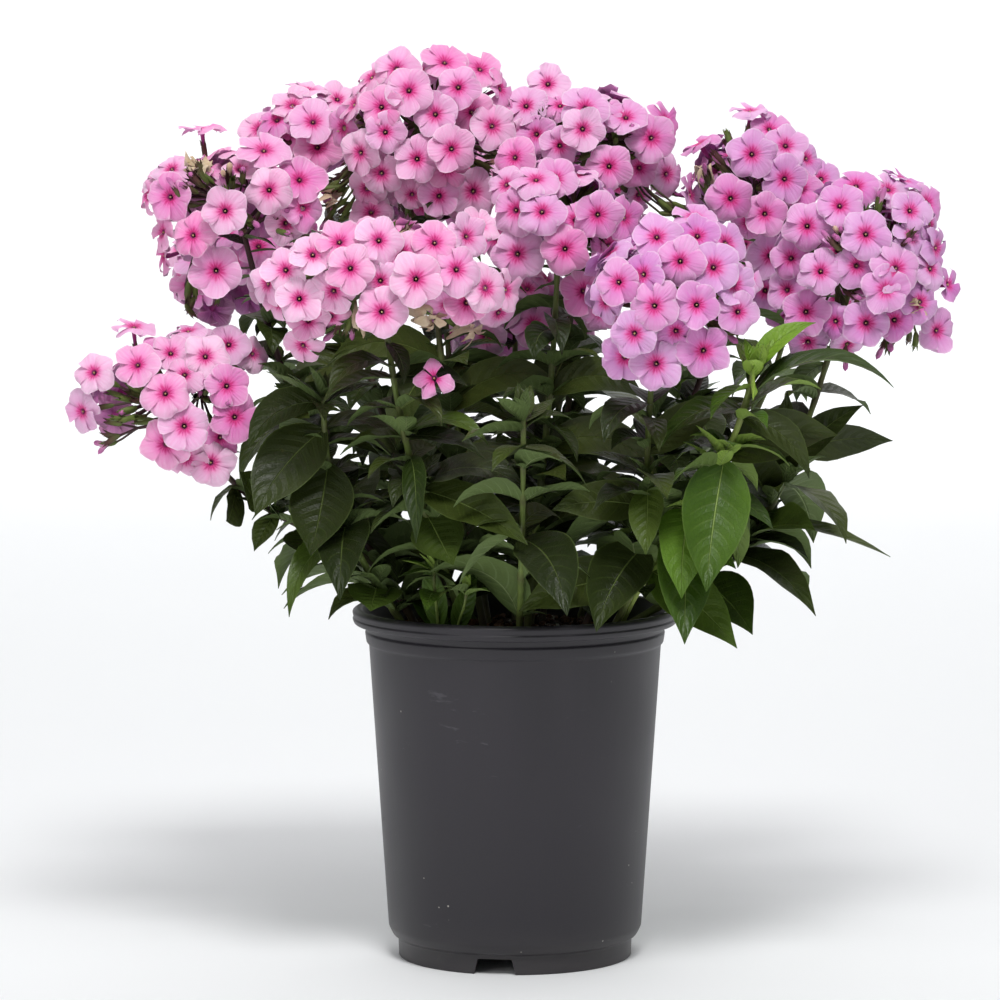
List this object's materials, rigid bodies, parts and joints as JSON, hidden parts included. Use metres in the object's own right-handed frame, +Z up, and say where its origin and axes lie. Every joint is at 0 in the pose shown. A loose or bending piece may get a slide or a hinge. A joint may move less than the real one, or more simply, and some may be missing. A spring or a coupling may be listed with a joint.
{
  "type": "potted garden phlox",
  "caption": "Garden phlox in a round charcoal nursery pot: leafy stems with opposite leaves carry domed heads of pale pink five-petalled florets.",
  "frame": {"origin": "on the surface the pot stands on, under the middle of the whole plant, which is the axis of the pot", "axes": "+Z up along the pot axis, +X to the right and +Y away when the plant is seen from its front, -Z out of the foot ring that it stands on"},
  "size_m": [0.4381, 0.3264, 0.4607],
  "materials": {
    "pot_plastic": "satin",
    "potting_mix": "matte",
    "foliage": "satin",
    "petals": "matte"
  },
  "bodies": {
    "root": {"pot": "pot_plastic", "potting_mix": "potting_mix", "leafy_stem_01": "foliage", "leafy_stem_02": "foliage", "leafy_stem_03": "foliage", "leafy_stem_04": "foliage", "leafy_stem_05": "foliage", "leafy_stem_06": "foliage", "leafy_stem_07": "foliage", "leafy_stem_08": "foliage", "leafy_stem_09": "foliage", "leafy_stem_10": "foliage", "leafy_stem_11": "foliage", "leafy_stem_12": "foliage", "leafy_stem_13": "foliage", "leafy_stem_14": "foliage", "leafy_stem_15": "foliage", "young_shoot_01": "foliage", "young_shoot_02": "foliage", "young_shoot_03": "foliage", "young_shoot_04": "foliage", "young_shoot_05": "foliage", "young_shoot_06": "foliage", "young_shoot_07": "foliage", "flower_head_01": "petals", "flower_head_02": "petals", "flower_head_03": "petals", "flower_head_04": "petals", "flower_head_05": "petals", "flower_head_06": "petals", "flower_head_07": "petals", "flower_head_08": "petals", "flower_head_09": "petals", "flower_head_10": "petals", "flower_head_11": "petals", "flower_head_12": "petals", "flower_head_13": "petals", "flower_head_14": "petals", "flower_head_15": "petals", "side_floret": "petals"}
  },
  "joints": []
}
